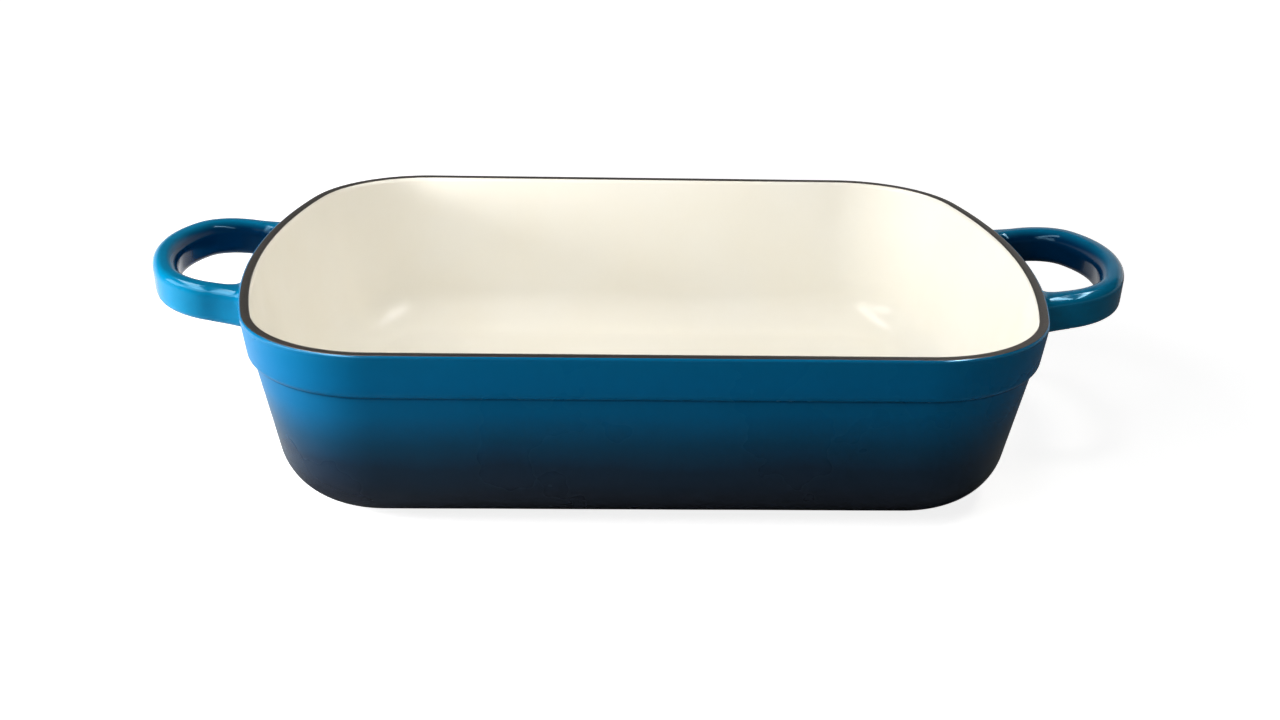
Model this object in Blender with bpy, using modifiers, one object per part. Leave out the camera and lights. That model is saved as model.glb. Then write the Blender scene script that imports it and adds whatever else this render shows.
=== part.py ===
"""Enamelled cast iron roasting dish with two loop handles.

The dish stands on z = 0 with its centre on the z axis and its long side along x.
Every length is in metres and every angle in radians.
"""
import bpy
import bmesh
from math import acos, atan2, ceil, cos, hypot, pi, radians, sin, sqrt, tan
from mathutils import Vector

# Plan of the rim's outer edge: straight long sides, bowed ends, round corners
RIM_LENGTH = 0.330
RIM_WIDTH = 0.242
CORNER_RADIUS = 0.0554
END_BOW_RADIUS = 0.306

# Outside profile, with its enamel on: a drafted band, a ledge under it, a drafted wall, a round foot
HEIGHT = 0.0766
BAND_HEIGHT = 0.0180
BAND_DRAFT = radians(7.4)
LEDGE_STEP = 0.0021
LEDGE_RISE = 0.0010
LEDGE_EDGE_RADIUS = 0.0035
LEDGE_ROOT_RADIUS = 0.0005
WALL_DRAFT = radians(11.3)
FOOT_RADIUS = 0.0258

# Cavity, with its enamel on
RIM_WALL = 0.00425
CAVITY_DRAFT = radians(12.3)
CAVITY_FILLET = 0.0215
FLOOR_THICKNESS = 0.0055

# Enamel coats, and the gap that each solid keeps to the next
ENAMEL = 0.0004
RIM_COAT = 0.0006
BASE_COAT = 0.0005
CLEARANCE = 0.0003

# Handles, with their enamel on: a loop at each end that rises towards its tip
HANDLE_REACH = 0.0408
HANDLE_HALF_WIDTH = 0.0482
HANDLE_TIP_RADIUS = 0.0760
HANDLE_CORNER_RADIUS = 0.0274
HANDLE_TIP_THICKNESS = 0.0102
HANDLE_ARM_THICKNESS = 0.0117
HANDLE_DEPTH = 0.0150
HANDLE_DROP = 0.0024
HANDLE_RISE = radians(7.8)
HANDLE_FACE_DRAFT = radians(2.0)
OUTER_TOP_RADIUS = 0.0036
INNER_TOP_RADIUS = 0.0048
INNER_LOW_RADIUS = 0.0040
OUTER_LOW_RADIUS = 0.0030

# Handle roots: how far each side of an arm widens, and over what length
INNER_FLARE = 0.0036
INNER_FLARE_LENGTH = 0.0075
OUTER_FLARE = 0.0022
OUTER_FLARE_LENGTH = 0.0120
ROOT_DEPTH = 0.0090

# Two points of a profile nearer in height than this are one
SAME_HEIGHT = 0.00001

# How much of a straight side the roundings at its two ends may take
ROUNDED_SHARE = 0.98

# Facets: counts along the plans, and how far a facet of a profile may stay inside its arc
CORNER_FACETS = 10
END_FACETS = 5
FACET_ERROR = 0.00012
LOOP_TIP_FACETS = 5
LOOP_CORNER_FACETS = 7
LOOP_ARM_FACETS = 6


def clear_scene():
    for item in list(bpy.data.objects):
        bpy.data.objects.remove(item, do_unlink=True)


def make_collection(name):
    group = bpy.data.collections.new(name)
    bpy.context.scene.collection.children.link(group)
    return group


def make_material(name, colour, roughness, metallic=0.0):
    mat = bpy.data.materials.new(name)
    mat.use_nodes = True
    shader = mat.node_tree.nodes["Principled BSDF"]
    shader.inputs["Base Color"].default_value = (*colour, 1.0)
    shader.inputs["Roughness"].default_value = roughness
    shader.inputs["Metallic"].default_value = metallic
    return mat


def quarter_outline(tip_x, tip_radius, side_y, corner_radius, tip_facets, corner_facets, inset=0.0):
    """(x, y, normal x, normal y) from the bowed tip on the x axis round to the straight side."""
    tip_centre = tip_x - tip_radius
    corner_y = side_y - corner_radius
    corner_x = tip_centre + sqrt((tip_radius - corner_radius) ** 2 - corner_y ** 2)
    meet = atan2(corner_y, corner_x - tip_centre)
    arcs = [(tip_centre, 0.0, tip_radius, meet * k / tip_facets) for k in range(tip_facets)]
    for k in range(corner_facets + 1):
        angle = meet + (pi / 2 - meet) * k / corner_facets
        arcs.append((corner_x, corner_y, corner_radius, angle))
    return [(x + (r - inset) * cos(a), y + (r - inset) * sin(a), cos(a), sin(a)) for x, y, r, a in arcs]


def rim_outline(inset):
    """The rim's plan, anticlockwise, moved inwards by inset."""
    quarter = quarter_outline(RIM_LENGTH / 2, END_BOW_RADIUS, RIM_WIDTH / 2, CORNER_RADIUS,
                              END_FACETS, CORNER_FACETS, inset)
    first = [(x, y) for x, y, _, _ in quarter]
    second = [(-x, y) for x, y in reversed(first)]
    back = first + second[:-1]
    front = [(-x, -y) for x, y in back]
    return back + front


def rounded_path(corners, radii):
    """A path through corners, each inner one rounded by its radius, or by less where two roundings meet."""
    points = [Vector(c) for c in corners]
    sides = [b - a for a, b in zip(points, points[1:])]
    turns = [a.angle(b) for a, b in zip(sides, sides[1:])]
    wanted = [0.0] + [radius * tan(turn / 2) for radius, turn in zip(radii, turns)] + [0.0]
    room = [min(1.0, ROUNDED_SHARE * side.length / (a + b)) for side, a, b in zip(sides, wanted, wanted[1:])]
    path = [corners[0]]
    for k, turn in enumerate(turns):
        reach = wanted[k + 1] * min(room[k], room[k + 1])
        radius = reach / tan(turn / 2)
        come = sides[k].normalized()
        go = sides[k + 1].normalized()
        start = points[k + 1] - come * reach
        bend = 1 if come.x * go.y > come.y * go.x else -1
        facets = max(2, ceil(turn / (2 * acos(1 - FACET_ERROR / radius))))
        for step in range(facets + 1):
            angle = turn * step / facets
            ahead = radius * sin(angle)
            aside = bend * radius * (1 - cos(angle))
            path.append((start.x + come.x * ahead - come.y * aside, start.y + come.y * ahead + come.x * aside))
    path.append(corners[-1])
    return path


def shifted_path(path, distance):
    """The path moved to the left of its direction, with its segments kept parallel."""
    points = [Vector(p) for p in path]
    lines = [(b - a).normalized() for a, b in zip(points, points[1:])]
    moved = []
    for point, behind, ahead in zip(points, lines[:1] + lines, lines + lines[-1:]):
        normal = Vector((-behind.y - ahead.y, behind.x + ahead.x)) / 2
        moved.append(tuple(point + normal * distance / normal.length_squared))
    return moved


def point_at(path, height):
    """The point at a height on a falling path, with its first side drawn on above its top."""
    for (x0, z0), (x1, z1) in zip(path, path[1:]):
        if z1 < height + SAME_HEIGHT:
            return x0 + (x1 - x0) * (z0 - height) / (z0 - z1), height


def between(path, top, low):
    """The stretch of a falling path between two heights."""
    inner = [p for p in path if low + SAME_HEIGHT < p[1] < top - SAME_HEIGHT]
    return [point_at(path, top)] + inner + [point_at(path, low)]


def outside_profile():
    """(inset, z) of the blue surface, from the rim's outer edge down to the middle of the base."""
    wall_top = HEIGHT - BAND_HEIGHT
    band_inset = (BAND_HEIGHT - LEDGE_RISE) * tan(BAND_DRAFT)
    wall_inset = band_inset + LEDGE_STEP
    foot_inset = wall_inset + wall_top * tan(WALL_DRAFT)
    corners = [(0.0, HEIGHT), (band_inset, wall_top + LEDGE_RISE), (wall_inset, wall_top),
               (foot_inset, 0.0), (RIM_WIDTH / 2, 0.0)]
    return rounded_path(corners, [LEDGE_EDGE_RADIUS, LEDGE_ROOT_RADIUS, FOOT_RADIUS])


def cavity_profile():
    """(inset, z) of the cream surface, from the rim's inner edge down to the middle of the floor."""
    floor_inset = RIM_WALL + (HEIGHT - FLOOR_THICKNESS) * tan(CAVITY_DRAFT)
    corners = [(RIM_WALL, HEIGHT), (floor_inset, FLOOR_THICKNESS), (RIM_WIDTH / 2, FLOOR_THICKNESS)]
    return rounded_path(corners, [CAVITY_FILLET])


def loft(name, rings, close_start=False, close_end=False, join_ends=False):
    """A skin through rings of equal length, which no primitive makes: an outline's offset isn't a scale."""
    mesh = bpy.data.meshes.new(name)
    work = bmesh.new()
    rows = [[work.verts.new(p) for p in ring] for ring in rings]
    pairs = list(zip(rows, rows[1:]))
    if join_ends:
        pairs.append((rows[-1], rows[0]))
    for upper, lower in pairs:
        for k in range(len(upper)):
            after = (k + 1) % len(upper)
            work.faces.new((upper[k], lower[k], lower[after], upper[after]))
    if close_start:
        work.faces.new(rows[0])
    if close_end:
        work.faces.new(list(reversed(rows[-1])))
    work.to_mesh(mesh)
    work.free()
    return mesh


def dish_rings(profile):
    return [[(x, y, z) for x, y in rim_outline(inset)] for inset, z in profile]


def add_part(group, mesh, mat):
    mesh.shade_smooth()
    mesh.set_sharp_from_angle(angle=radians(35))
    mesh.materials.append(mat)
    item = bpy.data.objects.new(mesh.name, mesh)
    group.objects.link(item)
    return item


def add_cutter(group, mesh):
    item = bpy.data.objects.new(mesh.name, mesh)
    item.hide_render = True
    item.display_type = "WIRE"
    group.objects.link(item)
    return item


def cut(item, cutter):
    step = item.modifiers.new("cut " + cutter.name, "BOOLEAN")
    step.operation = "DIFFERENCE"
    step.solver = "EXACT"
    step.object = cutter


def thicken(item, thickness):
    skin = item.modifiers.new("thickness", "SOLIDIFY")
    skin.thickness = thickness
    skin.offset = -1.0
    skin.use_even_offset = True


def pan_casting(outer, cavity):
    """The iron pan, set back from the visible surfaces by the coats and the gap."""
    depth = ENAMEL + CLEARANCE
    top = HEIGHT - RIM_COAT - CLEARANCE
    base = BASE_COAT + CLEARANCE
    outside = between(shifted_path(outer, depth), top, base)
    inside = between(shifted_path(cavity, -depth), top, FLOOR_THICKNESS - depth)
    return loft("pan_casting", dish_rings(inside[::-1] + outside), close_start=True, close_end=True)


def exterior_enamel(outer):
    """The blue skin, from under the rim coat down to just above the base coat."""
    skin = between(outer, HEIGHT - RIM_COAT - CLEARANCE, BASE_COAT + CLEARANCE)
    return loft("exterior_enamel", dish_rings(skin))


def interior_enamel(cavity):
    """The cream skin over the cavity's walls and floor."""
    skin = between(cavity, HEIGHT - RIM_COAT - CLEARANCE, FLOOR_THICKNESS)
    return loft("interior_enamel", dish_rings(skin[::-1]), close_start=True)


def rim_enamel():
    """The flat black ring over the iron and over both skins' upper edges."""
    low = HEIGHT - RIM_COAT
    section = [(0.0, HEIGHT), (0.0, low), (RIM_WALL, low), (RIM_WALL, HEIGHT)]
    return loft("rim_enamel", dish_rings(section), join_ends=True)


def base_enamel(outer):
    """The dark coat that the dish stands on, with its edge on the foot's curve."""
    return loft("base_enamel", dish_rings(between(outer, BASE_COAT, 0.0)), close_start=True, close_end=True)


def root_x():
    """Where the middle of a handle's arm meets the rim's outer edge."""
    arm_y = HANDLE_HALF_WIDTH - HANDLE_ARM_THICKNESS / 2
    return RIM_LENGTH / 2 - END_BOW_RADIUS + sqrt(END_BOW_RADIUS ** 2 - arm_y ** 2)


def handle_stations():
    """(x, y, normal x, normal y) along the loop's outer face, from one root to the other."""
    arch = quarter_outline(RIM_LENGTH / 2 + HANDLE_REACH, HANDLE_TIP_RADIUS, HANDLE_HALF_WIDTH,
                           HANDLE_CORNER_RADIUS, LOOP_TIP_FACETS, LOOP_CORNER_FACETS)
    arm_start, arm_y = arch[-1][:2]
    arm_length = arm_start - root_x()
    arm = []
    for k in range(LOOP_ARM_FACETS):
        share = 1 - cos(pi / 2 * (LOOP_ARM_FACETS - 1 - k) / LOOP_ARM_FACETS)
        arm.append((root_x() + arm_length * share, arm_y, 0.0, 1.0))
    arm.append((root_x() - ROOT_DEPTH, arm_y, 0.0, 1.0))
    half = arch + arm
    return [(x, -y, nx, -ny) for x, y, nx, ny in half[:0:-1]] + half


def flare(x, size, length):
    """How much a side widens at x, and its slope there."""
    left = min(max(1 - (x - root_x()) / length, 0.0), 1.0)
    slope = 2 * size / length * left if left < 1 else 0.0
    return size * left ** 2, slope


def handle_rings(side, shift):
    """The loop's sections from root to root, with its surface moved out by shift."""
    rings = []
    for x, y, nx, ny in handle_stations():
        thickness = HANDLE_ARM_THICKNESS + (HANDLE_TIP_THICKNESS - HANDLE_ARM_THICKNESS) * nx ** 2
        inner, inner_slope = flare(x, INNER_FLARE, INNER_FLARE_LENGTH)
        outer, outer_slope = flare(x, OUTER_FLARE, OUTER_FLARE_LENGTH)
        inner += shift * (hypot(1, inner_slope) - 1)
        outer += shift * (hypot(1, outer_slope) - 1)
        lean = HANDLE_DEPTH * tan(HANDLE_FACE_DRAFT)
        corners = [(thickness / 2, 0.0), (thickness + inner, 0.0), (thickness + inner, -HANDLE_DEPTH),
                   (lean - outer, -HANDLE_DEPTH), (-outer, 0.0), (thickness / 2, 0.0)]
        radii = [INNER_TOP_RADIUS, INNER_LOW_RADIUS, OUTER_LOW_RADIUS, OUTER_TOP_RADIUS]
        section = rounded_path(corners, radii)
        ring = []
        for across, z in shifted_path(section, shift)[1:-1]:
            px = x - nx * across
            py = y - ny * across
            rise = (px - RIM_LENGTH / 2) * tan(HANDLE_RISE)
            ring.append((side * px, side * py, HEIGHT - HANDLE_DROP + rise + z))
        rings.append(ring)
    return rings


def build():
    clear_scene()
    parts = make_collection("cast_iron_roasting_dish")
    cutters = make_collection("cutters")
    iron = make_material("iron", (0.09, 0.09, 0.095), 0.7, 0.7)
    blue = make_material("blue_enamel", (0.004, 0.085, 0.19), 0.35)
    handle_blue = make_material("handle_enamel", (0.004, 0.105, 0.235), 0.15)
    cream = make_material("cream_enamel", (0.86, 0.80, 0.66), 0.15)
    black = make_material("rim_enamel", (0.022, 0.022, 0.021), 0.65)
    dark = make_material("base_enamel", (0.010, 0.011, 0.014), 0.6)

    outer = outside_profile()
    cavity = cavity_profile()
    add_part(parts, pan_casting(outer, cavity), iron)
    outside = add_part(parts, exterior_enamel(outer), blue)
    thicken(outside, ENAMEL)
    inside = add_part(parts, interior_enamel(cavity), cream)
    thicken(inside, ENAMEL)
    add_part(parts, rim_enamel(), black)
    add_part(parts, base_enamel(outer), dark)

    # Each handle stops a gap short of what it meets: its core of the iron, its skin of the blue skin
    above = HEIGHT + HANDLE_REACH
    iron_path = between(shifted_path(outer, ENAMEL), above, ENAMEL)
    skin_path = between(shifted_path(outer, -CLEARANCE), above, 0.0)
    iron_space = loft("iron_space", dish_rings(iron_path), close_start=True, close_end=True)
    skin_space = loft("skin_space", dish_rings(skin_path), close_start=True, close_end=True)
    iron_space = add_cutter(cutters, iron_space)
    skin_space = add_cutter(cutters, skin_space)
    for side, word in ((-1, "left"), (1, "right")):
        core = loft(word + "_handle_casting", handle_rings(side, -ENAMEL - CLEARANCE), True, True)
        cut(add_part(parts, core, iron), iron_space)
        skin = add_part(parts, loft(word + "_handle_enamel", handle_rings(side, 0.0)), handle_blue)
        thicken(skin, ENAMEL)
        cut(skin, skin_space)
        passage = loft(word + "_core_passage", handle_rings(side, -ENAMEL), True, True)
        cut(outside, add_cutter(cutters, passage))


build()
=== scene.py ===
from math import atan2, cos, hypot, pi, radians, sin, sqrt, tan
import bmesh
import bpy
from mathutils import Matrix, Vector, noise


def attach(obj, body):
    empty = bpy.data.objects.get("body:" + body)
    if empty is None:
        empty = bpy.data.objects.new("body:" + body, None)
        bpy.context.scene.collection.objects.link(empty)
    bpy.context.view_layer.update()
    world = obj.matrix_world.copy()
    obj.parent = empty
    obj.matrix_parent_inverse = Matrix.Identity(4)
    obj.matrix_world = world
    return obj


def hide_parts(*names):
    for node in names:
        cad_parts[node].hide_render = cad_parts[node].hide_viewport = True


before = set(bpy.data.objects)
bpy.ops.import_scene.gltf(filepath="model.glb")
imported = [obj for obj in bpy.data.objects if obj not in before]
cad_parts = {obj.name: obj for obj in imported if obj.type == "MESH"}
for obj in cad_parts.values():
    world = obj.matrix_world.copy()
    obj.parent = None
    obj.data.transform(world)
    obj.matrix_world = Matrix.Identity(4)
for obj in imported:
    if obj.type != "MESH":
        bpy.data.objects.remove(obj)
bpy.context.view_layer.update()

scene = bpy.context.scene
print("roasting dish: frame loaded")


# Node trees are wired with these

def put(tree, kind, place, values=None, **settings):
    node = tree.nodes.new(kind)
    node.location = place
    for name, value in settings.items():
        setattr(node, name, value)
    for name, value in (values or {}).items():
        node.inputs[name].default_value = value
    return node


def wire(tree, source, output, target, entry):
    tree.links.new(source.outputs[output], target.inputs[entry])


def sums(tree, place, rule, one, two=0.0, clamp=False):
    # a maths node fed by numbers or by (node, output) pairs; it gives back such a pair
    node = put(tree, "ShaderNodeMath", place, operation=rule, use_clamp=clamp)
    for k, source in enumerate((one, two)):
        if isinstance(source, tuple):
            wire(tree, *source, node, k)
        else:
            node.inputs[k].default_value = source
    return node, "Value"


# Finishes. Every colour is linear. The patterns read Object coordinates in metres, and the handles'
# finish also reads the handles' own "inward" attribute, which marks where the loop is painted darker as
# painted shade

noiseReach = (0.3, 0.7)      # where most of a noise's values lie
peelDetail = 1.0
pitDetail = 3.0
grainRough = 0.6


def newFinish(name):
    mat = bpy.data.materials.new(name)
    mat.use_nodes = True
    tree = mat.node_tree
    tree.nodes.clear()
    out = put(tree, "ShaderNodeOutputMaterial", (900, 0))
    shader = put(tree, "ShaderNodeBsdfPrincipled", (600, 0))
    wire(tree, shader, "BSDF", out, "Surface")
    where = put(tree, "ShaderNodeTexCoord", (-1400, 0))
    return mat, tree, shader, where


def speckle(tree, where, place, scale, detail=2.0, rough=0.5):
    grain = put(tree, "ShaderNodeTexNoise", place,
                {"Scale": scale, "Detail": detail, "Roughness": rough}, noise_dimensions="3D")
    wire(tree, where, "Object", grain, "Vector")
    return grain


def ramp(tree, place, stops):
    node = put(tree, "ShaderNodeValToRGB", place)
    marks = node.color_ramp.elements
    while len(marks) < len(stops):
        marks.new(0.5)
    for mark, (at, colour) in zip(marks, stops):
        mark.position = at
        mark.color = (*colour, 1.0)
    return node


def spread(tree, source, output, place, low, high, toLow, toHigh):
    node = put(tree, "ShaderNodeMapRange", place,
               {"From Min": low, "From Max": high, "To Min": toLow, "To Max": toHigh})
    wire(tree, source, output, node, "Value")
    return node


def roughen(tree, shader, grain, depth, strength):
    bump = put(tree, "ShaderNodeBump", (0, -500), {"Strength": strength, "Distance": depth})
    wire(tree, grain, "Fac", bump, "Height")
    wire(tree, bump, "Normal", shader, "Normal")


blueLook = {
    # the sprayed fade, from the table up to the rim
    "stops": [(0.0, (0.0170, 0.0185, 0.0290)), (0.20, (0.0200, 0.0265, 0.0420)),
              (0.36, (0.0130, 0.0305, 0.0600)), (0.50, (0.0055, 0.0600, 0.1300)),
              (0.68, (0.0010, 0.1190, 0.2730)), (0.86, (0.0, 0.1430, 0.3320)), (1.0, (0.0, 0.1510, 0.3350))],
    "driftScale": 28.0,              # the spray's edge wanders at this scale
    "driftDetail": 3.0,
    "driftReach": (0.25, 0.75),
    "fadeNoise": 0.0022,             # and by this much
    "mistScale": 900.0,              # and its droplets
    "mistNoise": 0.0005,
    "creaseReach": (0.0003, 0.0010),     # painted shade: the corner under the band is painted darker, where the ledge's shadow falls
    "creaseShade": 0.55,
    "roughness": (0.24, 0.34),
    "tint": (0.30, 0.70, 1.0),
    "hazeFrom": (0.014, 0.052),      # the dark ground coat's haze fades out between these heights
    "hazeSpecular": (0.53, 0.12),
    "lipUnder": (0.0018, 0.0008),    # and the rolled edge is glossy again, from these depths under the rim
    "lipSpecular": (0.0, 0.80),
    "lipPolish": (1.0, 0.45),        # its share of the satin's roughness
    "peelScale": 260.0,              # orange peel, about 4 mm across
    "peelDepth": 0.00003,
    "peelStrength": 0.5,
}


def satinBlueEnamel():
    top = section["height"]
    lipFrom = [top - depth for depth in blueLook["lipUnder"]]
    mat, tree, shader, where = newFinish("satinBlueEnamel")
    apart = put(tree, "ShaderNodeSeparateXYZ", (-1180, 120))
    wire(tree, where, "Object", apart, "Vector")
    drift = speckle(tree, where, (-1180, -120), blueLook["driftScale"], blueLook["driftDetail"])
    fine = speckle(tree, where, (-1180, -380), blueLook["mistScale"])
    wander = spread(tree, drift, "Fac", (-980, -120), *blueLook["driftReach"],
                    -blueLook["fadeNoise"], blueLook["fadeNoise"])
    mist = spread(tree, fine, "Fac", (-980, -380), *noiseReach, -blueLook["mistNoise"], blueLook["mistNoise"])
    height = sums(tree, (-780, 60), "ADD", (apart, "Z"), (wander, "Result"))
    misted = sums(tree, (-600, 60), "ADD", height, (mist, "Result"))
    level = spread(tree, *misted, (-420, 60), 0.0, top, 0.0, 1.0)
    fade = ramp(tree, (-220, 60), blueLook["stops"])
    wire(tree, level, "Result", fade, "Fac")
    # painted shade: a thin line under the band, where the ledge's shadow falls on the wall, is painted darker
    above = sums(tree, (-420, 320), "SUBTRACT", (apart, "Z"), top - section["bandHeight"])
    gap = sums(tree, (-220, 320), "ABSOLUTE", above)
    paintedCreaseShade = spread(tree, *gap, (-40, 320), *blueLook["creaseReach"], blueLook["creaseShade"], 1.0)
    fadeWithCreaseShade = put(tree, "ShaderNodeVectorMath", (140, 160), operation="SCALE")
    wire(tree, fade, "Color", fadeWithCreaseShade, 0)
    wire(tree, paintedCreaseShade, "Result", fadeWithCreaseShade, "Scale")
    wire(tree, fadeWithCreaseShade, "Vector", shader, "Base Color")
    satin = spread(tree, drift, "Fac", (-420, -200), *noiseReach, *blueLook["roughness"])
    polish = spread(tree, apart, "Z", (-420, -440), *lipFrom, *blueLook["lipPolish"])
    rough = sums(tree, (-220, -200), "MULTIPLY", (satin, "Result"), (polish, "Result"))
    wire(tree, *rough, shader, "Roughness")
    haze = spread(tree, apart, "Z", (-420, -60), *blueLook["hazeFrom"], *blueLook["hazeSpecular"])
    lip = spread(tree, apart, "Z", (-420, -320), *lipFrom, *blueLook["lipSpecular"])
    gloss = sums(tree, (-220, -360), "MAXIMUM", (haze, "Result"), (lip, "Result"))
    wire(tree, *gloss, shader, "Specular IOR Level")
    shader.inputs["Specular Tint"].default_value = (*blueLook["tint"], 1.0)
    peel = speckle(tree, where, (-600, -500), blueLook["peelScale"], peelDetail)
    roughen(tree, shader, peel, blueLook["peelDepth"], blueLook["peelStrength"])
    return mat


def pooledGloss(name, look):
    # a glossy coat whose two tones drift where it pools, with fine mist and orange peel over them
    mat, tree, shader, where = newFinish(name)
    pool = speckle(tree, where, (-1000, 100), look["poolScale"], look["poolDetail"])
    fine = speckle(tree, where, (-1000, -140), look["mistScale"])
    mixed = put(tree, "ShaderNodeMath", (-780, 60), {1: look["mistShare"]}, operation="MULTIPLY_ADD")
    wire(tree, fine, "Fac", mixed, 0)
    wire(tree, pool, "Fac", mixed, 2)
    tone = ramp(tree, (-560, 60), look["tones"])
    wire(tree, mixed, "Value", tone, "Fac")
    wire(tree, tone, "Color", shader, "Base Color")
    gloss = spread(tree, pool, "Fac", (-220, -200), *noiseReach, *look["roughness"])
    wire(tree, gloss, "Result", shader, "Roughness")
    peel = speckle(tree, where, (-600, -500), look["peelScale"], peelDetail)
    roughen(tree, shader, peel, look["peelDepth"], look["peelStrength"])
    return mat, tree, shader, tone


handleLook = {
    "poolScale": 60.0,
    "poolDetail": 2.0,
    "mistScale": 900.0,
    "mistShare": 0.3,
    "tones": [(0.42, (0.0, 0.1450, 0.2850)), (0.85, (0.0, 0.1720, 0.3350))],
    "inside": (0.0, 0.0200, 0.0620),     # painted shade: the inside of the loop is painted darker, where the loop shades its own inner faces
    "roughness": (0.10, 0.15),
    "specular": (0.50, 0.20),            # outside, and inside the loop
    "tint": (0.35, 0.76, 1.0),
    "peelScale": 260.0,
    "peelDepth": 0.00003,
    "peelStrength": 0.35,
}


def glossyHandleEnamel():
    mat, tree, shader, tone = pooledGloss("glossyHandleEnamel", handleLook)
    # painted shade: the colour darkens towards the inside colour on faces turned to the pan
    inward = put(tree, "ShaderNodeAttribute", (-560, 320), attribute_name="inward")
    shaded = put(tree, "ShaderNodeMix", (-200, 160), data_type="RGBA")
    outer, inner, mixed = shaded.inputs[6], shaded.inputs[7], shaded.outputs[2]      # the colour ones
    inner.default_value = (*handleLook["inside"], 1.0)
    wire(tree, inward, "Fac", shaded, "Factor")
    tree.links.new(tone.outputs["Color"], outer)
    tree.links.new(mixed, shader.inputs["Base Color"])
    shine = spread(tree, inward, "Fac", (-220, -380), 0.0, 1.0, *handleLook["specular"])
    wire(tree, shine, "Result", shader, "Specular IOR Level")
    shader.inputs["Specular Tint"].default_value = (*handleLook["tint"], 1.0)
    return mat


creamLook = {
    "poolScale": 22.0,
    "poolDetail": 3.0,
    "mistScale": 1500.0,
    "mistShare": 0.2,
    "tones": [(0.40, (0.860, 0.830, 0.740)), (0.80, (0.870, 0.850, 0.780))],
    "roughness": (0.16, 0.26),
    "specular": 0.3,
    "peelScale": 220.0,
    "peelDepth": 0.00003,
    "peelStrength": 0.4,
}


def creamEnamel():
    mat, _, shader, _ = pooledGloss("creamEnamel", creamLook)
    shader.inputs["Specular IOR Level"].default_value = creamLook["specular"]
    return mat


def grainyFinish(name, look):
    # a dull finish with clouds of two tones over fine pits
    mat, tree, shader, where = newFinish(name)
    grain = {"cloud": speckle(tree, where, (-1000, 100), look["cloudScale"], look["cloudDetail"], grainRough),
             "pits": speckle(tree, where, (-1000, -140), look["pitScale"], pitDetail, grainRough)}
    tone = ramp(tree, (-560, 60), look["tones"])
    wire(tree, grain["cloud"], "Fac", tone, "Fac")
    wire(tree, tone, "Color", shader, "Base Color")
    dull = spread(tree, grain[look["roughBy"]], "Fac", (-220, -200), *noiseReach, *look["roughness"])
    wire(tree, dull, "Result", shader, "Roughness")
    roughen(tree, shader, grain["pits"], look["pitDepth"], look["pitStrength"])
    return mat, shader


rimLook = {
    "cloudScale": 240.0,
    "cloudDetail": 4.0,
    "tones": [(0.35, (0.0050, 0.0045, 0.0036)), (0.72, (0.0190, 0.0145, 0.0110))],
    "tint": (1.0, 0.88, 0.78),
    "roughness": (0.32, 0.46),
    "roughBy": "pits",
    "specular": 1.0,
    "pitScale": 1500.0,
    "pitDepth": 0.00004,
    "pitStrength": 0.7,
}


def mattRimEnamel():
    mat, shader = grainyFinish("mattRimEnamel", rimLook)
    shader.inputs["Specular Tint"].default_value = (*rimLook["tint"], 1.0)
    shader.inputs["Specular IOR Level"].default_value = rimLook["specular"]
    return mat


baseLook = {
    "cloudScale": 60.0,
    "cloudDetail": 5.0,
    "tones": [(0.40, (0.008, 0.009, 0.011)), (0.75, (0.022, 0.023, 0.026))],
    "roughness": (0.42, 0.62),
    "roughBy": "cloud",
    "pitScale": 1100.0,
    "pitDepth": 0.00005,
    "pitStrength": 0.7,
}


def baseCoat():
    mat, _ = grainyFinish("baseCoat", baseLook)
    return mat


ironLook = {
    "cloudScale": 90.0,
    "cloudDetail": 5.0,
    "tones": [(0.35, (0.055, 0.055, 0.058)), (0.70, (0.110, 0.108, 0.110))],
    "roughness": (0.60, 0.78),
    "roughBy": "pits",
    "metallic": 0.7,
    "pitScale": 1400.0,          # the sand mould's grain
    "pitDepth": 0.00008,
    "pitStrength": 0.8,
}


def castIron():
    mat, shader = grainyFinish("castIron", ironLook)
    shader.inputs["Metallic"].default_value = ironLook["metallic"]
    return mat


# The plan of the rim's outer edge, which every wall follows

plan = {
    "length": 0.330,
    "width": 0.242,
    "cornerRadius": 0.0554,
    "endRadius": 0.306,       # of the bowed ends; the long sides are straight
    "endSteps": 32,
    "cornerSteps": 36,
    "sideSteps": 36,
}
endCentre = plan["length"] / 2 - plan["endRadius"]


def planLoop():
    # (x, y, outward x, outward y) once round, anticlockwise from the right tip
    cornerY = plan["width"] / 2 - plan["cornerRadius"]
    cornerX = endCentre + sqrt((plan["endRadius"] - plan["cornerRadius"]) ** 2 - cornerY ** 2)
    meet = atan2(cornerY, cornerX - endCentre)
    quarter = []
    for k in range(plan["endSteps"]):
        a = meet * k / plan["endSteps"]
        quarter.append((endCentre + plan["endRadius"] * cos(a), plan["endRadius"] * sin(a), cos(a), sin(a)))
    for k in range(plan["cornerSteps"]):
        a = meet + (pi / 2 - meet) * k / plan["cornerSteps"]
        quarter.append((cornerX + plan["cornerRadius"] * cos(a), cornerY + plan["cornerRadius"] * sin(a),
                        cos(a), sin(a)))
    for k in range(plan["sideSteps"] + 1):
        quarter.append((cornerX * (1 - k / plan["sideSteps"]), plan["width"] / 2, 0.0, 1.0))
    back = quarter + [(-x, y, -nx, ny) for x, y, nx, ny in quarter[-2::-1]]
    front = [(-x, -y, -nx, -ny) for x, y, nx, ny in back]
    return back[:-1] + front[:-1]


def planMesh(name):
    loop = planLoop()
    mesh = bpy.data.meshes.new(name)
    mesh.from_pydata([(x, y, 0.0) for x, y, _, _ in loop], [], [])
    outward = mesh.attributes.new("outward", "FLOAT_VECTOR", "POINT")
    for item, (_, _, nx, ny) in zip(outward.data, loop):
        item.vector = (nx, ny, 0.0)
    return mesh


# Sections, as (inset from the rim's outer edge, height)

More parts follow.
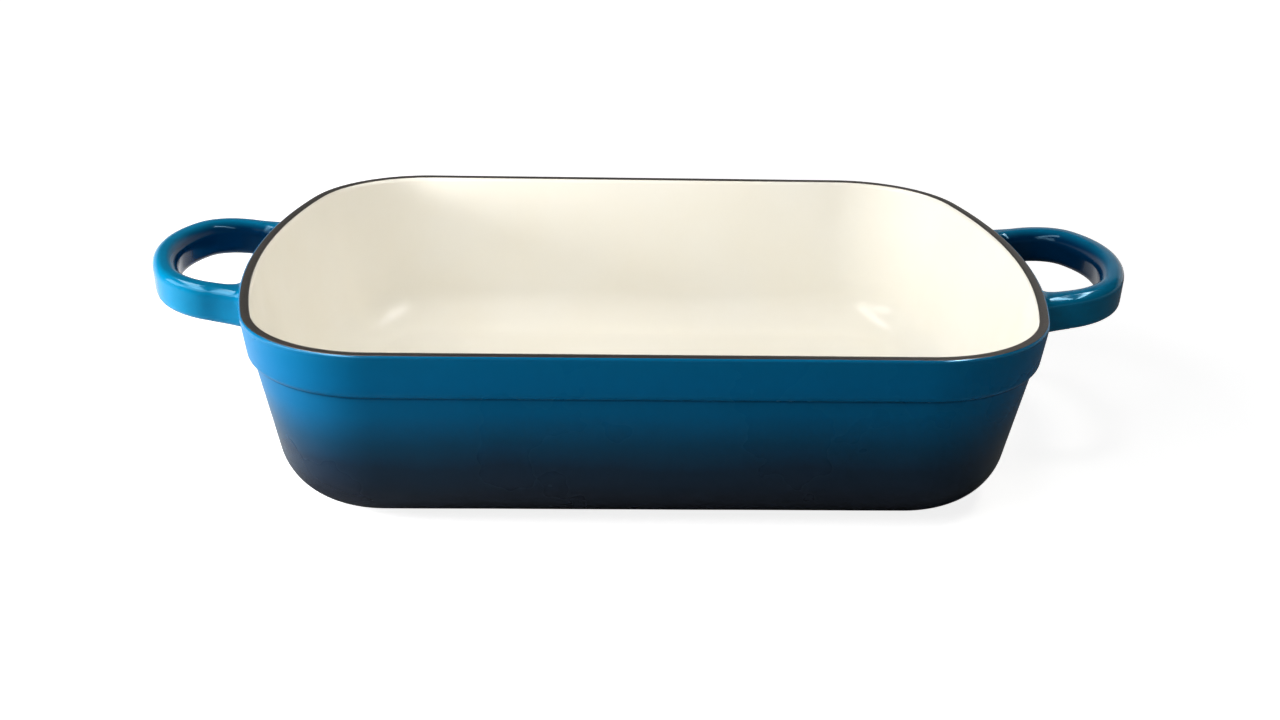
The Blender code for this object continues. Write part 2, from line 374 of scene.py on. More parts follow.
section = {
    "height": 0.0766,
    "bandHeight": 0.0180,
    "bandDraft": radians(7.4),
    "ledgeStep": 0.0021,      # how far the wall steps in under the band
    "ledgeRise": 0.0010,
    "ledgeEdge": 0.0035,      # the radii of the band's low edge and of the corner under it
    "ledgeRoot": 0.0005,
    "wallDraft": radians(11.3),
    "foot": 0.0258,           # the radius where the wall turns under
    "rimWall": 0.00425,       # the whole wall's width on top
    "cavityDraft": radians(12.3),
    "cavityFillet": 0.0215,
    "floor": 0.0055,
    "coat": 0.0004,
    "blueLip": 0.0011,        # how far the blue reaches in on top
    "longestSide": 0.0024,
    "outsideSteps": ((10, 5, 26), (3, 2, 8)),     # points round each bend, on the coat's face and behind it
    "cavitySteps": (24, 8),
}


def between(value, low, high):
    # 0 up to low, 1 from high on
    return min(max((value - low) / (high - low), 0.0), 1.0)


def roundedPath(corners, radii, steps):
    # the path through the corners, each but the first and last rounded with its own radius
    points = [Vector(c) for c in corners]
    path = [corners[0]]
    for before, corner, after, radius, count in zip(points, points[1:], points[2:], radii, steps):
        come = (corner - before).normalized()
        go = (after - corner).normalized()
        turn = come.angle(go)
        start = corner - come * radius * tan(turn / 2)
        bend = 1 if come.x * go.y > come.y * go.x else -1
        for k in range(count + 1):
            ahead = radius * sin(turn * k / count)
            aside = bend * radius * (1 - cos(turn * k / count))
            path.append((start.x + come.x * ahead - come.y * aside,
                         start.y + come.y * ahead + come.x * aside))
    path.append(corners[-1])
    return path


def shiftedPath(path, distance):
    # the path beside a path, to its left
    points = [Vector(p) for p in path]
    sides = [(b - a).normalized() for a, b in zip(points, points[1:])]
    moved = []
    for point, behind, ahead in zip(points, sides[:1] + sides, sides + sides[-1:]):
        normal = Vector((-behind.y - ahead.y, behind.x + ahead.x)) / 2
        moved.append(tuple(point + normal * distance / normal.length_squared))
    return moved


def splitLong(path, longest, like=None):
    # straight sides get points too, so that the ripple can bend them, as many as on the path it is like
    model = like or path
    fine = [path[0]]
    for (x0, z0), (x1, z1), one, two in zip(path, path[1:], model, model[1:]):
        count = max(1, round(hypot(two[0] - one[0], two[1] - one[1]) / longest))
        fine += [(x0 + (x1 - x0) * k / count, z0 + (z1 - z0) * k / count) for k in range(1, count + 1)]
    return fine


def outsidePath(behind=False):
    wallTop = section["height"] - section["bandHeight"]
    bandInset = (section["bandHeight"] - section["ledgeRise"]) * tan(section["bandDraft"])
    wallInset = bandInset + section["ledgeStep"]
    footInset = wallInset + wallTop * tan(section["wallDraft"])
    corners = [(0.0, section["height"]), (bandInset, wallTop + section["ledgeRise"]), (wallInset, wallTop),
               (footInset, 0.0), (plan["width"] / 2, 0.0)]
    radii = [section["ledgeEdge"], section["ledgeRoot"], section["foot"]]
    return roundedPath(corners, radii, section["outsideSteps"][behind])[:-1]


def cavityPath(behind=False):
    floorInset = section["rimWall"] + (section["height"] - section["floor"]) * tan(section["cavityDraft"])
    corners = [(section["rimWall"], section["height"]), (floorInset, section["floor"]),
               (plan["width"] / 2, section["floor"])]
    return roundedPath(corners, [section["cavityFillet"]], [section["cavitySteps"][behind]])[:-1]


def dropTo(path, top, low):
    # the stretch of a falling path between two heights, without points that all but touch its ends
    near = 0.00002

    def cut(height):
        for (x0, z0), (x1, z1) in zip(path, path[1:]):
            if z1 <= height + near / 20:
                return x0 + (x1 - x0) * (z0 - height) / (z0 - z1), height
        return path[-1]
    return [cut(top)] + [p for p in path if low + near < p[1] < top - near] + [cut(low)]


# Each coat's section is (inset, how far the ring is drawn together, height, how much it ripples)

blueCoat = {
    "belowRim": 0.00012,             # the black rim stands this much over it
    "roll": 0.0009,                  # its rounded top edge
    "lipEdge": 0.0001,               # and its sharper edge under the rim coat
    "rollSteps": (2, 10),
    "underRoll": 0.0003,             # the face goes on this far under the rounding
    "underLip": 0.0008,              # and the back starts this far under the lip
    "ends": (0.00045, 0.0007),       # how high the face and the back stop over the table
    "rippleUnder": (0.002, 0.006),   # the ripple grows between these depths under the rim
    "rippleOver": (0.0008, 0.0038),  # and between these heights over the table
}


def blueSection():
    # down the outside from the rolled edge, then back up inside the coat
    top = section["height"] - blueCoat["belowRim"]
    corners = [(section["blueLip"], top - section["coat"]), (section["blueLip"], top),
               (blueCoat["belowRim"] * tan(section["bandDraft"]), top), outsidePath()[1]]
    roll = roundedPath(corners, [blueCoat["lipEdge"], blueCoat["roll"]], blueCoat["rollSteps"])[:-1]
    face = dropTo(outsidePath(), roll[-1][1] - blueCoat["underRoll"], blueCoat["ends"][0])
    back = dropTo(shiftedPath(outsidePath(behind=True), section["coat"]),
                  top - section["coat"] - blueCoat["underLip"], blueCoat["ends"][1])
    points = []
    for x, z in roll + splitLong(face, section["longestSide"]):
        upper = between(section["height"] - z, *blueCoat["rippleUnder"])
        points.append((x, 0.0, z, upper * between(z, *blueCoat["rippleOver"])))
    return points + [(x, 0.0, z, 0.0) for x, z in back[::-1]]


creamCoat = {
    "belowRim": 0.0003,              # it ends this far under the rim's top
    "rippleUnder": (0.002, 0.006),   # the ripple grows between these depths under its edge
    "floorRings": 16,
    "backRings": 4,
}


def ringShares(count):
    # how far each ring of a floor is drawn together, evenly up to its middle
    return [k / count for k in range(1, count + 1)]


def creamSection():
    top = section["height"] - creamCoat["belowRim"]
    floor = section["floor"]
    face = splitLong(dropTo(cavityPath(), top, floor), section["longestSide"])
    back = dropTo(shiftedPath(cavityPath(behind=True), -section["coat"]), top, floor - section["coat"])
    points = [(x, 0.0, z, between(top - z, *creamCoat["rippleUnder"])) for x, z in face]
    points += [(face[-1][0], s, floor, 1.0) for s in ringShares(creamCoat["floorRings"])]
    under = [(back[-1][0], s, floor - section["coat"], 0.0) for s in ringShares(creamCoat["backRings"])]
    points += under[::-1]
    return points + [(x, 0.0, z, 0.0) for x, z in back[::-1]]


rimCoat = {
    "depth": 0.0010,
    "overLip": 0.0003,                # how far it covers the blue
    "inside": (0.00015, -0.00005),    # its inner face past the rim's wall, low down and on top
    "rounds": (0.00028, 0.0001, 0.0001, 0.00055),     # its edges, from the outer top one round to the inner
    "roundSteps": (5, 2, 2, 6),
    "longestSide": 0.0012,
}


def rimSection():
    top = section["height"]
    low = top - rimCoat["depth"]
    lip = section["blueLip"] - rimCoat["overLip"]
    middle = ((lip + section["rimWall"]) / 2, top)
    foot, edge = (section["rimWall"] + past for past in rimCoat["inside"])
    corners = [middle, (lip, top), (lip, low), (foot, low), (edge, top), middle]
    loop = roundedPath(corners, rimCoat["rounds"], rimCoat["roundSteps"])[:-1]
    return [(x, 0.0, z, 0.0) for x, z in splitLong(loop + loop[:1], rimCoat["longestSide"])[:-1]]


footCoat = {
    "proud": 0.00008,             # it ends a hair proud of the blue on the foot's curve
    "top": 0.0011,
    "turnIn": (0.0003, 0.00005),  # its top edge, inwards and upwards
    "thickness": 0.0005,
    "back": (0.002, 0.0008),      # its back behind that edge: how far in, and how high
    "floorRings": 12,
    "backRings": 4,
}


def baseSection():
    edge = dropTo(shiftedPath(outsidePath(), -footCoat["proud"]), footCoat["top"], 0.0)
    topX, topZ = edge[0][0] + footCoat["turnIn"][0], edge[0][1] + footCoat["turnIn"][1]
    flat = edge[-1][0]
    back = footCoat["thickness"]
    points = [(topX, 0.0, topZ, 0.0)] + [(x, 0.0, max(z, 0.0), 0.0) for x, z in edge]
    points += [(flat, s, 0.0, 0.0) for s in ringShares(footCoat["floorRings"])]
    points += [(flat, s, back, 0.0) for s in ringShares(footCoat["backRings"])[::-1] + [0.0]]
    return points + [(topX + footCoat["back"][0], 0.0, footCoat["back"][1], 0.0)]


def sectionObject(name, points):
    mesh = bpy.data.meshes.new(name)
    mesh.from_pydata([(x, s, z) for x, s, z, _ in points], [], [])
    ripple = mesh.attributes.new("ripple", "FLOAT", "POINT")
    for item, point in zip(ripple.data, points):
        item.value = point[3]
    item = bpy.data.objects.new(name, mesh)
    scene.collection.objects.link(item)
    return item


# Geometry nodes: a closed wall. Each ring is the plan, moved in, drawn together and lifted by the section

weldDistance = 0.00001
rippleDetail = 1.0


def wallTree():
    tree = bpy.data.node_groups.new("wallRoundThePlan", "GeometryNodeTree")
    for name, kind in (("Geometry", "NodeSocketGeometry"), ("Section", "NodeSocketObject"),
                       ("Ripple Height", "NodeSocketFloat"), ("Ripple Size", "NodeSocketFloat"),
                       ("Seed", "NodeSocketFloat"), ("Material", "NodeSocketMaterial")):
        tree.interface.new_socket(name=name, in_out="INPUT", socket_type=kind)
    tree.interface.new_socket(name="Geometry", in_out="OUTPUT", socket_type="NodeSocketGeometry")
    given = put(tree, "NodeGroupInput", (-1600, 0))
    out = put(tree, "NodeGroupOutput", (1900, 0))
    shape = put(tree, "GeometryNodeObjectInfo", (-1350, -250))
    wire(tree, given, "Section", shape, "Object")
    index = put(tree, "GeometryNodeInputIndex", (-1350, 250))

    counts = []
    for k, source in enumerate(((given, "Geometry"), (shape, "Geometry"))):
        size = put(tree, "GeometryNodeAttributeDomainSize", (-1150, 450 - 160 * k), component="MESH")
        wire(tree, *source, size, "Geometry")
        more = put(tree, "FunctionNodeIntegerMath", (-950, 450 - 160 * k), {1: 1}, operation="ADD")
        wire(tree, size, "Point Count", more, 0)
        counts.append((size, more))
    grid = put(tree, "GeometryNodeMeshGrid", (-700, 420))
    wire(tree, counts[0][1], 0, grid, "Vertices X")
    wire(tree, counts[1][1], 0, grid, "Vertices Y")

    places = []
    for k, rule in enumerate(("DIVIDE_FLOOR", "MODULO")):
        part = put(tree, "FunctionNodeIntegerMath", (-700, 180 - 160 * k), operation=rule)
        wire(tree, index, "Index", part, 0)
        wire(tree, counts[1][1], 0, part, 1)
        wrapped = put(tree, "FunctionNodeIntegerMath", (-520, 180 - 160 * k), operation="MODULO")
        wire(tree, part, 0, wrapped, 0)
        wire(tree, counts[k][0], "Point Count", wrapped, 1)
        places.append(wrapped)

    position = put(tree, "GeometryNodeInputPosition", (-700, -300))
    outward = put(tree, "GeometryNodeInputNamedAttribute", (-700, -400), {"Name": "outward"},
                  data_type="FLOAT_VECTOR")
    mask = put(tree, "GeometryNodeInputNamedAttribute", (-700, -540), {"Name": "ripple"}, data_type="FLOAT")

    def sampled(source, field, output, kind, place, row):
        node = put(tree, "GeometryNodeSampleIndex", (-280, row), data_type=kind, domain="POINT")
        wire(tree, *source, node, "Geometry")
        wire(tree, field, output, node, "Value")
        wire(tree, place, 0, node, "Index")
        return node
    along = sampled((given, "Geometry"), position, "Position", "FLOAT_VECTOR", places[0], 300)
    away = sampled((given, "Geometry"), outward, "Attribute", "FLOAT_VECTOR", places[0], 100)
    across = sampled((shape, "Geometry"), position, "Position", "FLOAT_VECTOR", places[1], -100)
    loose = sampled((shape, "Geometry"), mask, "Attribute", "FLOAT", places[1], -300)

    apart = put(tree, "ShaderNodeSeparateXYZ", (-80, -100))
    wire(tree, across, "Value", apart, "Vector")
    step = put(tree, "ShaderNodeVectorMath", (100, 100), operation="SCALE")
    wire(tree, away, "Value", step, 0)
    wire(tree, apart, "X", step, "Scale")
    inset = put(tree, "ShaderNodeVectorMath", (280, 200), operation="SUBTRACT")
    wire(tree, along, "Value", inset, 0)
    wire(tree, step, "Vector", inset, 1)
    keep = sums(tree, (100, -60), "SUBTRACT", 1.0, (apart, "Y"))
    drawn = put(tree, "ShaderNodeVectorMath", (460, 160), operation="SCALE")
    wire(tree, inset, "Vector", drawn, 0)
    wire(tree, *keep, drawn, "Scale")
    lift = put(tree, "ShaderNodeCombineXYZ", (280, -120))
    wire(tree, apart, "Z", lift, "Z")
    spot = put(tree, "ShaderNodeVectorMath", (640, 100), operation="ADD")
    wire(tree, drawn, "Vector", spot, 0)
    wire(tree, lift, "Vector", spot, 1)
    shaped = put(tree, "GeometryNodeSetPosition", (820, 260))
    wire(tree, grid, "Mesh", shaped, "Geometry")
    wire(tree, spot, "Vector", shaped, "Position")
    masked = put(tree, "GeometryNodeStoreNamedAttribute", (1000, 260), {"Name": "ripple"},
                 data_type="FLOAT", domain="POINT")
    wire(tree, shaped, "Geometry", masked, "Geometry")
    wire(tree, loose, "Value", masked, "Value")
    merged = put(tree, "GeometryNodeMergeByDistance", (1180, 260), {"Distance": weldDistance})
    wire(tree, masked, "Geometry", merged, "Geometry")

    scale = sums(tree, (640, -300), "DIVIDE", 1.0, (given, "Ripple Size"))
    waves = put(tree, "ShaderNodeTexNoise", (820, -260), {"Detail": rippleDetail}, noise_dimensions="4D")
    wire(tree, position, "Position", waves, "Vector")
    wire(tree, given, "Seed", waves, "W")
    wire(tree, *scale, waves, "Scale")
    centred = sums(tree, (1000, -260), "SUBTRACT", (waves, "Fac"), 0.5)
    sized = sums(tree, (1180, -260), "MULTIPLY", centred, (given, "Ripple Height"))
    ripple = sums(tree, (1180, -60), "MULTIPLY", sized, (mask, "Attribute"))
    normal = put(tree, "GeometryNodeInputNormal", (1180, 80))
    shift = put(tree, "ShaderNodeVectorMath", (1340, 60), operation="SCALE")
    wire(tree, normal, "Normal", shift, 0)
    wire(tree, *ripple, shift, "Scale")
    waved = put(tree, "GeometryNodeSetPosition", (1400, 260))
    wire(tree, merged, "Geometry", waved, "Geometry")
    wire(tree, shift, "Vector", waved, "Offset")
    smooth = put(tree, "GeometryNodeSetShadeSmooth", (1500, 100))
    wire(tree, waved, "Geometry", smooth, "Geometry")
    real = put(tree, "GeometryNodeRealizeInstances", (1600, 0))
    wire(tree, smooth, "Geometry", real, "Geometry")
    finish = put(tree, "GeometryNodeSetMaterial", (1750, 0))
    wire(tree, real, "Geometry", finish, "Geometry")
    wire(tree, given, "Material", finish, "Material")
    wire(tree, finish, "Geometry", out, "Geometry")
    return tree


def faceOutwards(mesh):
    work = bmesh.new()
    work.from_mesh(mesh)
    if work.calc_volume(signed=True) < 0:
        bmesh.ops.reverse_faces(work, faces=work.faces)
    work.to_mesh(mesh)
    work.free()


def makeWall(tree, name, points, mat, rippleHeight, rippleSize, seed):
    piece = bpy.data.objects.new(name, planMesh(name))
    scene.collection.objects.link(piece)
    shape = sectionObject(name + "Section", points)
    step = piece.modifiers.new("wall", "NODES")
    step.node_group = tree
    values = {"Section": shape, "Ripple Height": rippleHeight, "Ripple Size": rippleSize,
              "Seed": seed, "Material": mat}
    for socket in tree.interface.items_tree:
        if socket.in_out == "INPUT" and socket.name in values:
            step[socket.identifier] = values[socket.name]
    bpy.context.view_layer.update()
    solid = bpy.data.meshes.new_from_object(piece.evaluated_get(bpy.context.evaluated_depsgraph_get()))
    piece.modifiers.remove(step)
    piece.data = solid
    faceOutwards(solid)
    solid.name = name
    bpy.data.objects.remove(shape, do_unlink=True)
    return piece


# The loop handles, each one body from root to root, with fillets that end flush on the band

handle = {
    "reach": 0.0408,                    # from the rim's end to the tip
    "halfWidth": 0.0482,
    "tipRadius": 0.0760,
    "cornerRadius": 0.0274,
    "tipThickness": 0.0102,
    "armThickness": 0.0117,
    "depth": 0.0150,
    "drop": 0.0024,                     # how far the loop's top starts under the rim's
    "rise": radians(7.8),
    "faceDraft": radians(2.0),
    "crown": 0.00035,                   # how much higher the middle of its top is than the sides
    "innerTop": 0.0048,
    "innerLow": 0.0040,
    "outerLow": 0.0030,
    "outerTop": 0.0036,
    "innerFlare": (0.0037, 0.0077),     # how much wider an arm is at its root, and over what length
    "outerFlare": (0.0023, 0.0122),
    "innerFillet": (0.0012, 0.0030),    # width on the band, length along the arm
    "outerFillet": (0.0014, 0.0036),
    "topFillet": (0.0013, 0.0030),
    "lowFillet": (0.0008, 0.0024),
    "sink": (0.00004, 0.0003),          # how deep the root's edge and its closing face lie in the band
    "tipSteps": 22,
    "cornerSteps": 26,
    "armSteps": 34,
    "roundSteps": (10, 8, 8, 10),
    "longestSide": 0.0016,
    "bandSide": 0.0004,                 # how finely the band's outside is followed at the roots
    "rippleHeight": 0.00008,
    "rippleSize": 0.022,
    "rippleFrom": (0.005, 0.011),       # it grows between these distances from the rim's end
    "rippleSeed": (7.0, 3.0, 1.0),
    "loopShadeFrom": (0.10, 0.80),         # the loop's inside is painted darker, a painted shade, as a face turns to the pan, between these
}


def handleArch():
    # (x, y, outward x, outward y) along the loop's outer face, from the tip's middle to the bend's end
    tipX = plan["length"] / 2 + handle["reach"] - handle["tipRadius"]
    cornerY = handle["halfWidth"] - handle["cornerRadius"]
    cornerX = tipX + sqrt((handle["tipRadius"] - handle["cornerRadius"]) ** 2 - cornerY ** 2)
    meet = atan2(cornerY, cornerX - tipX)
    arch = []
    for k in range(handle["tipSteps"]):
        a = meet * k / handle["tipSteps"]
        arch.append((tipX + handle["tipRadius"] * cos(a), handle["tipRadius"] * sin(a), cos(a), sin(a)))
    for k in range(handle["cornerSteps"] + 1):
        a = meet + (pi / 2 - meet) * k / handle["cornerSteps"]
        arch.append((cornerX + handle["cornerRadius"] * cos(a), cornerY + handle["cornerRadius"] * sin(a),
                     cos(a), sin(a)))
    return arch


def handleSection(thickness):
    # (across from the outer face, height from the loop's top), and its outward normals
    lean = handle["depth"] * tan(handle["faceDraft"])
    radii = [handle["innerTop"], handle["innerLow"], handle["outerLow"], handle["outerTop"]]
    rounded = []
    for width in (thickness, handle["armThickness"]):
        corners = [(width * 0.5, 0.0), (width, 0.0), (width, -handle["depth"]), (lean, -handle["depth"]),
                   (0.0, 0.0), (width * 0.5, 0.0)]
        rounded.append(roundedPath(corners, radii, handle["roundSteps"]))
    points = []
    for across, z in splitLong(rounded[0], handle["longestSide"], rounded[1])[:-1]:
        crown = handle["crown"] * (2 * across / thickness - 1) ** 2 * (1 + z / handle["depth"])
        points.append((across, z - crown))
    normals = []
    for k in range(len(points)):
        before, after = points[k - 1], points[(k + 1) % len(points)]
        run = Vector((after[0] - before[0], after[1] - before[1])).normalized()
        normals.append((-run.y, run.x))
    return points, normals


bandPath = splitLong(outsidePath(), handle["bandSide"])


def bandX(y, z):
    # where the band's outside is, at a place on the bowed end
    for (x0, z0), (x1, z1) in zip(bandPath, bandPath[1:]):
        if z1 <= z:
            inset = x0 + (x1 - x0) * (z0 - z) / (z0 - z1) if z0 > z1 else x0
            break
    return endCentre + sqrt((plan["endRadius"] - inset) ** 2 - y ** 2)


def rootFlare(across, x):
    # how far the widening at the root moves a point of the arm's section outwards
    half = handle["armThickness"] / 2
    rootX = endCentre + sqrt(plan["endRadius"] ** 2 - (handle["halfWidth"] - half) ** 2)
    inner = across > half
    size, length = handle["innerFlare" if inner else "outerFlare"]
    edge = handle["innerTop" if inner else "outerTop"]
    left = 1 - between(x - rootX, 0.0, length)
    share = between(abs(across - half), 0.0, half - edge)
    return (-1 if inner else 1) * share * size * left ** 2


def filletPush(normal, gap):
    # how far the fillet lifts the surface off the plain arm, at a distance from the band
    across, up = normal
    total = 0.0
    for share, (width, length) in ((max(across, 0.0) ** 2, handle["innerFillet"]),
                                   (min(across, 0.0) ** 2, handle["outerFillet"]),
                                   (max(up, 0.0) ** 2, handle["topFillet"]),
                                   (min(up, 0.0) ** 2, handle["lowFillet"])):
        left = 1 - between(gap, 0.0, length)
        total += share * width * (1 - sqrt(1 - left ** 2))
    return total


def handleRings():
    arch = handleArch()
    half = []
    tipPoints, _ = handleSection(handle["tipThickness"])
    armPoints, armNormals = handleSection(handle["armThickness"])
    top = section["height"] - handle["drop"]
    for x, y, nx, ny in arch:
        ring = []
        for (a0, z0), (a1, z1) in zip(armPoints, tipPoints):
            across = a0 + (a1 - a0) * nx ** 2
            px = x - nx * across
            lift = (px - plan["length"] / 2) * tan(handle["rise"])
            ring.append((px, y - ny * across, top + lift + z0 + (z1 - z0) * nx ** 2))
        half.append(ring)
    endX, endY = arch[-1][:2]
    for k in range(1, handle["armSteps"] + 2):
        share = sin(pi / 2 * min(k / handle["armSteps"], 1.0))
        ring = []
        for (across, z), normal in zip(armPoints, armNormals):
            gap = (endX - bandX(endY - across, top + z)) * (1 - share)
            push = filletPush(normal, gap)
            wide = rootFlare(across, bandX(endY - across, top + z) + gap)
            py = endY - across + wide - normal[0] * push
            lift = (bandX(py, top + z) + gap - plan["length"] / 2) * tan(handle["rise"])
            pz = top + lift + z + normal[1] * push
            sink = handle["sink"][0] * share ** 8 if k <= handle["armSteps"] else handle["sink"][1]
            ring.append((bandX(py, pz) + gap - sink, py, pz))
        half.append(ring)
    mirrored = [[(x, -y, z) for x, y, z in ring] for ring in half[:0:-1]]
    return mirrored + half


def makeHandle(name, side, mat):
    rings = handleRings()
    _, normals = handleSection(handle["armThickness"])
    work = bmesh.new()
    rows = []
    for ring in rings:
        row = []
        for x, y, z in ring:
            row.append(work.verts.new((side * x, side * y, z)))
        rows.append(row)
    for one, two in zip(rows, rows[1:]):
        for k in range(len(one)):
            after = (k + 1) % len(one)
            work.faces.new((one[k], two[k], two[after], one[after]))
    work.faces.new(rows[0])
    work.faces.new(list(reversed(rows[-1])))
    work.normal_update()
    seedX, seedY, seedZ = handle["rippleSeed"]
    for vert in work.verts:       # the casting's slight unevenness, only inwards, and none at the roots
        loose = between(abs(vert.co.x) - plan["length"] / 2, *handle["rippleFrom"])
        wave = noise.noise(vert.co / handle["rippleSize"] + Vector((side * seedX, seedY, seedZ)))
        vert.co -= vert.normal * handle["rippleHeight"] * loose * (0.5 + 0.5 * wave)
    mesh = bpy.data.meshes.new(name)
    work.to_mesh(mesh)
    work.free()
    inward = mesh.attributes.new("inward", "FLOAT", "POINT")
    for k, item in enumerate(inward.data):      # 1 on the side that faces the pan, where the loop is painted darker as painted shade
        item.value = between(normals[k % len(normals)][0], *handle["loopShadeFrom"])
    mesh.shade_smooth()
    mesh.materials.append(mat)
    faceOutwards(mesh)
    piece = bpy.data.objects.new(name, mesh)
    scene.collection.objects.link(piece)
    return piece


# Build the pieces

blue = satinBlueEnamel()
handleBlue = glossyHandleEnamel()
cream = creamEnamel()
black = mattRimEnamel()
ground = baseCoat()
iron = castIron()
print("roasting dish: finishes ready")

ripples = {
    "outside": (0.00022, 0.045, 3.0),      # height, size, seed
    "inside": (0.00020, 0.050, 8.0),
    "none": (0.0, 0.050, 1.0),
}
walls = wallTree()
outside = makeWall(walls, "outsideEnamel", blueSection(), blue, *ripples["outside"])
inside = makeWall(walls, "cavityEnamel", creamSection(), cream, *ripples["inside"])
rim = makeWall(walls, "rimCoat", rimSection(), black, *ripples["none"])
base = makeWall(walls, "groundCoat", baseSection(), ground, *ripples["none"])
print("roasting dish: walls built")

leftHandle = makeHandle("leftHandleEnamel", -1, handleBlue)
rightHandle = makeHandle("rightHandleEnamel", 1, handleBlue)
print("roasting dish: handles built")

pieces = ((outside, "exterior_enamel", "blue_enamel"), (inside, "interior_enamel", "cream_enamel"),
          (rim, "rim_enamel", "rim_enamel"), (base, "base_enamel", "base_enamel"),
          (leftHandle, "left_handle_enamel", "handle_enamel"),
          (rightHandle, "right_handle_enamel", "handle_enamel"))
for piece, node, slot in pieces:
    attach(piece, "root")
    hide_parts(node)
for node in ("pan_casting", "left_handle_casting", "right_handle_casting"):
    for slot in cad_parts[node].material_slots:
        slot.material = iron
print("roasting dish: pieces placed")


# Floor, light and camera. The eye here is the camera, and mirrors are glossy rays

studio = {
    "floorSize": 12.0,
    "floorColour": (0.60, 0.08),    # its grey, and what mirrors see of it apart from the glow
    "floorGlow": (0.84, 1.0),       # what is added to the lit floor, near and far, so that it reads white
    "glowReach": (0.25, 0.95),      # where the near glow ends, and where the far one is full
    "footprint": (0.135, 0.090),    # half the foot's length and width: mirrors see the floor dark under it
    "contact": (0.030, 0.180),      # and how far out that shadow reaches, sideways and forwards
    "farSide": 0.10,                # how bright mirrors see the floor away from the key lamp
    "keySide": (-0.12, 0.22),       # where it brightens towards the lamp
    "keySlant": 1.3,                # how much that side leans to the back
    "ambient": 0.10,                # how much light comes from all round
    "mirroredSky": 0.03,            # how bright mirrors see the room overhead
    "backdrop": 0.55,               # how bright mirrors see the pale backdrop low down
    "backdropTop": (0.16, 0.30),    # and where it ends, as a share of straight up
    "windowBehind": 0.60,           # a soft pane behind on the right, seen by mirrors only
    "windowTop": (0.30, 0.48),
    "windowSide": (-0.15, 0.35),
    "windowBack": (0.2, 0.5),
}


def seenByEye(tree, place, path):
    return sums(tree, place, "MAXIMUM", (path, "Is Camera Ray"), (path, "Is Transmission Ray"))


def contactShade(tree, place):
    # 0 under the dish, rising a hand's breadth out, and brighter on the key lamp's side
    where = put(tree, "ShaderNodeTexCoord", place)
    apart = put(tree, "ShaderNodeSeparateXYZ", (place[0] + 180, place[1]))
    wire(tree, where, "Object", apart, "Vector")
    squares = []
    for k, axis in enumerate("XY"):
        row = place[1] - 180 * k
        size = sums(tree, (place[0] + 360, row), "ABSOLUTE", (apart, axis))
        past = sums(tree, (place[0] + 540, row), "SUBTRACT", size, studio["footprint"][k])
        outside = sums(tree, (place[0] + 720, row), "MAXIMUM", past, 0.0)
        scaled = sums(tree, (place[0] + 810, row), "DIVIDE", outside, studio["contact"][k])
        squares.append(sums(tree, (place[0] + 900, row), "POWER", scaled, 2.0))
    total = sums(tree, (place[0] + 1080, place[1]), "ADD", *squares)
    contact = sums(tree, (place[0] + 1260, place[1]), "SQRT", total, clamp=True)
    over = place[1] + 180
    lean = sums(tree, (place[0] + 360, over), "MULTIPLY", (apart, "Y"), studio["keySlant"])
    side = sums(tree, (place[0] + 540, over), "SUBTRACT", lean, (apart, "X"))
    keySide = spread(tree, *side, (place[0] + 720, over), *studio["keySide"], studio["farSide"], 1.0)
    return sums(tree, (place[0] + 1620, place[1]), "MULTIPLY", contact, (keySide, "Result"))


def paleFloor():
    half = studio["floorSize"] / 2
    mesh = bpy.data.meshes.new("studioFloor")
    corners = [(-half, -half, 0.0), (half, -half, 0.0), (half, half, 0.0), (-half, half, 0.0)]
    mesh.from_pydata(corners, [], [(0, 1, 2, 3)])
    mat = bpy.data.materials.new("paleFloor")
    mat.use_nodes = True
    tree = mat.node_tree
    tree.nodes.clear()
    out = put(tree, "ShaderNodeOutputMaterial", (600, 0))
    cloth = put(tree, "ShaderNodeBsdfDiffuse", (0, 100))
    path = put(tree, "ShaderNodeLightPath", (-900, 200))
    shade = spread(tree, path, "Is Glossy Ray", (-300, 200), 0.0, 1.0, *studio["floorColour"])
    wire(tree, shade, "Result", cloth, "Color")
    glow = put(tree, "ShaderNodeEmission", (0, -100))
    shadow = contactShade(tree, (-2600, -200))
    mirrored = sums(tree, (-700, -200), "MULTIPLY", (path, "Is Glossy Ray"), shadow)
    seen = sums(tree, (-500, -200), "MAXIMUM", seenByEye(tree, (-700, 0), path), mirrored)
    where = put(tree, "ShaderNodeTexCoord", (-800, -500))
    away = put(tree, "ShaderNodeVectorMath", (-600, -500), operation="LENGTH")
    wire(tree, where, "Object", away, 0)
    bright = spread(tree, away, "Value", (-420, -500), *studio["glowReach"], *studio["floorGlow"])
    wire(tree, *sums(tree, (-200, -200), "MULTIPLY", seen, (bright, "Result")), glow, "Strength")
    both = put(tree, "ShaderNodeAddShader", (300, 0))
    wire(tree, cloth, "BSDF", both, 0)
    wire(tree, glow, "Emission", both, 1)
    wire(tree, both, "Shader", out, "Surface")
    mesh.materials.append(mat)
    floor = bpy.data.objects.new("studioFloor", mesh)
    scene.collection.objects.link(floor)


